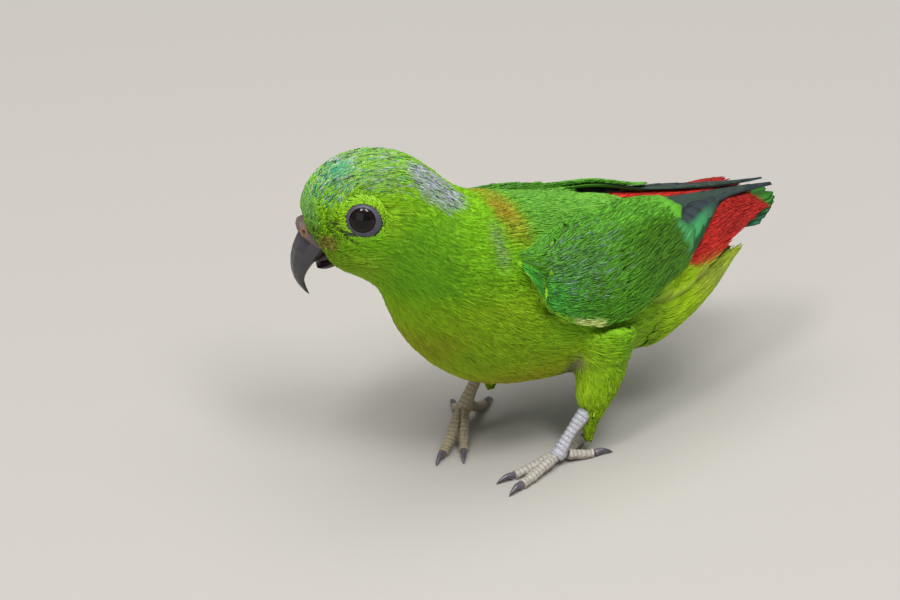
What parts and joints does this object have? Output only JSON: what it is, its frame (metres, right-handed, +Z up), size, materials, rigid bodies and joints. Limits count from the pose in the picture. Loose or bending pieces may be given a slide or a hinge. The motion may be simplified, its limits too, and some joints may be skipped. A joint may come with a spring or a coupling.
{
  "type": "blue-crowned hanging parrot",
  "caption": "Small green parrot standing and leaning forward, head turned aside, wings folded over a red rump, short tail, hooked dark bill.",
  "frame": {"origin": "centre of the bounding box on the floor, under the belly", "axes": "+Z up, the bird faces -X with its left side towards -Y, the tail ends at +X"},
  "size_m": [0.1042, 0.0378, 0.0661],
  "materials": {
    "head_plumage": "soft satin plumage, yellow-green with a bluish forehead and a lavender-grey hind crown",
    "neck_plumage": "soft satin plumage, yellow-green with a gold tinge at the mantle",
    "body_plumage": "soft satin plumage, yellow-green, more olive on the belly",
    "vent_plumage": "soft satin plumage, bright yellow-green",
    "thigh_plumage": "downy plumage, olive green",
    "wing_feathers": "closed flight feathers, deep green with a bluish sheen and dark tips",
    "red_feathers": "closed long feathers, scarlet",
    "tail_feathers": "closed tail feathers, green, bluish below",
    "eye": "wet gloss, near black",
    "eyelid": "bare wrinkled skin, grey, matte",
    "cere": "bare skin, grey-brown with an orange tinge",
    "bill": "horn, charcoal, semi-gloss",
    "lower_bill": "horn, dark brown-grey, semi-gloss",
    "leg_scales": "scaled skin, pale grey",
    "toe_scales": "scaled skin, pale grey-brown",
    "claw": "horn, dark grey, semi-gloss"
  },
  "bodies": {
    "root": {"head": "head_plumage", "neck": "neck_plumage", "torso": "body_plumage", "rump": "red_feathers", "vent": "vent_plumage", "eye_left": "eye", "lid_left": "eyelid", "eye_right": "eye", "lid_right": "eyelid", "cere": "cere", "upper_bill": "bill", "lower_bill": "lower_bill", "thigh_left": "thigh_plumage", "shank_left": "leg_scales", "toe_left_inner": "toe_scales", "claw_left_inner": "claw", "toe_left_outer": "toe_scales", "claw_left_outer": "claw", "toe_left_hind": "toe_scales", "claw_left_hind": "claw", "toe_left_back": "toe_scales", "claw_left_back": "claw", "thigh_right": "thigh_plumage", "shank_right": "leg_scales", "toe_right_inner": "toe_scales", "claw_right_inner": "claw", "toe_right_outer": "toe_scales", "claw_right_outer": "claw", "toe_right_hind": "toe_scales", "claw_right_hind": "claw", "toe_right_back": "toe_scales", "claw_right_back": "claw", "wing_left": "wing_feathers", "wing_right": "wing_feathers", "tail_feathers": "tail_feathers", "rump_feathers": "red_feathers", "vent_feathers": "vent_plumage"}
  },
  "joints": []
}
